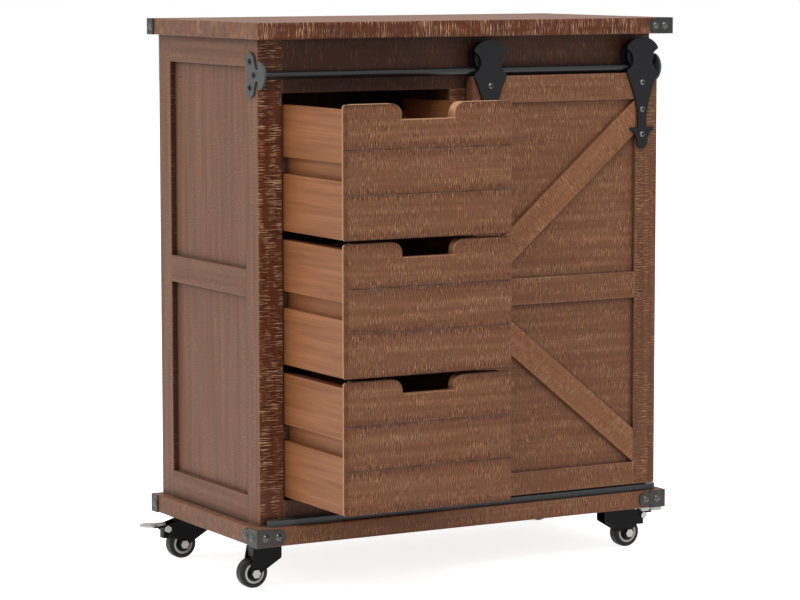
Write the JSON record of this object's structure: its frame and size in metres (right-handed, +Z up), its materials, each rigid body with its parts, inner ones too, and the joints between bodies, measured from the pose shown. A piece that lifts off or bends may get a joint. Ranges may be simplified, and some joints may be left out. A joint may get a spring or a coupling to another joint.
{
  "type": "storage cabinet",
  "caption": "Rustic wooden storage cabinet on casters: stacked drawers on the left and a plank door that slides on a rod in front of a shelved compartment.",
  "frame": {"origin": "on the floor, under the middle of the top board", "axes": "+X to the right seen from the front, +Y to the back, +Z up"},
  "size_m": [0.7175, 0.4807, 0.76],
  "materials": {
    "stained_fir": "rough-sawn brown stain",
    "plain_fir": "planed, clear coat",
    "black_iron": "matt charcoal",
    "dark_screw": "dark zinc",
    "roller_steel": "satin black",
    "zinc_steel": "bright zinc",
    "wheel_rubber": "black tyre on plastic hub"
  },
  "bodies": {
    "carcass": {"top_board": "stained_fir", "base_board": "stained_fir", "front_left_post": "stained_fir", "front_right_post": "stained_fir", "back_left_post": "stained_fir", "back_right_post": "stained_fir", "centre_posts": "stained_fir", "front_top_rail": "stained_fir", "front_bottom_rail": "stained_fir", "side_rails": "stained_fir", "side_panels": "stained_fir", "back_rails": "stained_fir", "back_panel": "stained_fir", "divider_panel": "stained_fir", "shelf": "stained_fir", "shelf_cleats": "stained_fir", "drawer_runners": "stained_fir", "top_corner_brackets": "black_iron", "base_corner_brackets": "black_iron", "bracket_rivets": "black_iron", "rail_rod": "black_iron", "rail_plates": "black_iron", "door_track": "black_iron", "caster_plates": "black_iron", "rail_plate_screws": "dark_screw", "caster_plate_screws": "zinc_steel"},
    "door": {"door_left_stile": "stained_fir", "door_right_stile": "stained_fir", "door_rails": "stained_fir", "door_panels": "stained_fir", "door_braces": "stained_fir", "hangers": "black_iron", "door_guides": "black_iron", "roller_axles": "black_iron", "hanger_bolts": "dark_screw"},
    "roller_left": {"left_roller": "roller_steel"},
    "roller_right": {"right_roller": "roller_steel"},
    "drawer_bottom": {"bottom_drawer_front": "stained_fir", "bottom_drawer_sides": "plain_fir", "bottom_drawer_back": "plain_fir", "bottom_drawer_bottom": "plain_fir"},
    "drawer_middle": {"middle_drawer_front": "stained_fir", "middle_drawer_sides": "plain_fir", "middle_drawer_back": "plain_fir", "middle_drawer_bottom": "plain_fir"},
    "drawer_top": {"top_drawer_front": "stained_fir", "top_drawer_sides": "plain_fir", "top_drawer_back": "plain_fir", "top_drawer_bottom": "plain_fir"},
    "swivel_front_left": {"front_left_fork": "black_iron"},
    "wheel_front_left": {"front_left_wheel": "wheel_rubber"},
    "swivel_back_left": {"back_left_fork": "black_iron"},
    "wheel_back_left": {"back_left_wheel": "wheel_rubber"},
    "swivel_front_right": {"front_right_fork": "black_iron"},
    "wheel_front_right": {"front_right_wheel": "wheel_rubber"},
    "swivel_back_right": {"back_right_fork": "black_iron"},
    "wheel_back_right": {"back_right_wheel": "wheel_rubber"},
    "pedal_back_left": {"back_left_pedal": "zinc_steel"},
    "pedal_front_right": {"front_right_pedal": "zinc_steel"}
  },
  "joints": [
    {"name": "door_slide", "type": "slide", "parent": "carcass", "child": "door", "axis": [1, 0, 0], "range_m": [-0.0245, 0]},
    {"name": "drawer_bottom_slide", "type": "slide", "parent": "carcass", "child": "drawer_bottom", "axis": [0, -1, 0], "range_m": [-0.168, 0.042]},
    {"name": "drawer_middle_slide", "type": "slide", "parent": "carcass", "child": "drawer_middle", "axis": [0, -1, 0], "range_m": [-0.168, 0.042]},
    {"name": "drawer_top_slide", "type": "slide", "parent": "carcass", "child": "drawer_top", "axis": [0, -1, 0], "range_m": [-0.168, 0.042]},
    {"name": "roller_left_spin", "type": "hinge", "parent": "door", "child": "roller_left", "pos_m": [0.0335, -0.1505, 0.7075], "axis": [0, 1, 0], "continuous": true},
    {"name": "roller_right_spin", "type": "hinge", "parent": "door", "child": "roller_right", "pos_m": [0.282, -0.1505, 0.7075], "axis": [0, 1, 0], "continuous": true},
    {"name": "swivel_front_left", "type": "hinge", "parent": "carcass", "child": "swivel_front_left", "pos_m": [-0.291, -0.114, 0.0562], "axis": [0, 0, 1], "continuous": true},
    {"name": "wheel_front_left_spin", "type": "hinge", "parent": "swivel_front_left", "child": "wheel_front_left", "pos_m": [-0.311, -0.114, 0.0205], "axis": [0, 1, 0], "continuous": true},
    {"name": "swivel_back_left", "type": "hinge", "parent": "carcass", "child": "swivel_back_left", "pos_m": [-0.2845, 0.1235, 0.0562], "axis": [0, 0, 1], "continuous": true},
    {"name": "wheel_back_left_spin", "type": "hinge", "parent": "swivel_back_left", "child": "wheel_back_left", "pos_m": [-0.3045, 0.1235, 0.0205], "axis": [0, 1, 0], "continuous": true},
    {"name": "pedal_back_left_press", "type": "hinge", "parent": "swivel_back_left", "child": "pedal_back_left", "pos_m": [-0.3295, 0.1235, 0.0445], "axis": [0, -1, 0], "range_deg": [0, 20]},
    {"name": "swivel_front_right", "type": "hinge", "parent": "carcass", "child": "swivel_front_right", "pos_m": [0.269, -0.114, 0.0562], "axis": [0, 0, 1], "continuous": true},
    {"name": "wheel_front_right_spin", "type": "hinge", "parent": "swivel_front_right", "child": "wheel_front_right", "pos_m": [0.289, -0.114, 0.0205], "axis": [0, 1, 0], "continuous": true},
    {"name": "pedal_front_right_press", "type": "hinge", "parent": "swivel_front_right", "child": "pedal_front_right", "pos_m": [0.314, -0.114, 0.0445], "axis": [0, 1, 0], "range_deg": [0, 20]},
    {"name": "swivel_back_right", "type": "hinge", "parent": "carcass", "child": "swivel_back_right", "pos_m": [0.269, 0.1235, 0.0562], "axis": [0, 0, 1], "continuous": true},
    {"name": "wheel_back_right_spin", "type": "hinge", "parent": "swivel_back_right", "child": "wheel_back_right", "pos_m": [0.289, 0.1235, 0.0205], "axis": [0, 1, 0], "continuous": true}
  ],
  "couplings": [
    {"joint": "roller_left_spin", "follows": "door_slide", "rad_per_m": 83.333},
    {"joint": "roller_right_spin", "follows": "door_slide", "rad_per_m": 83.333}
  ]
}
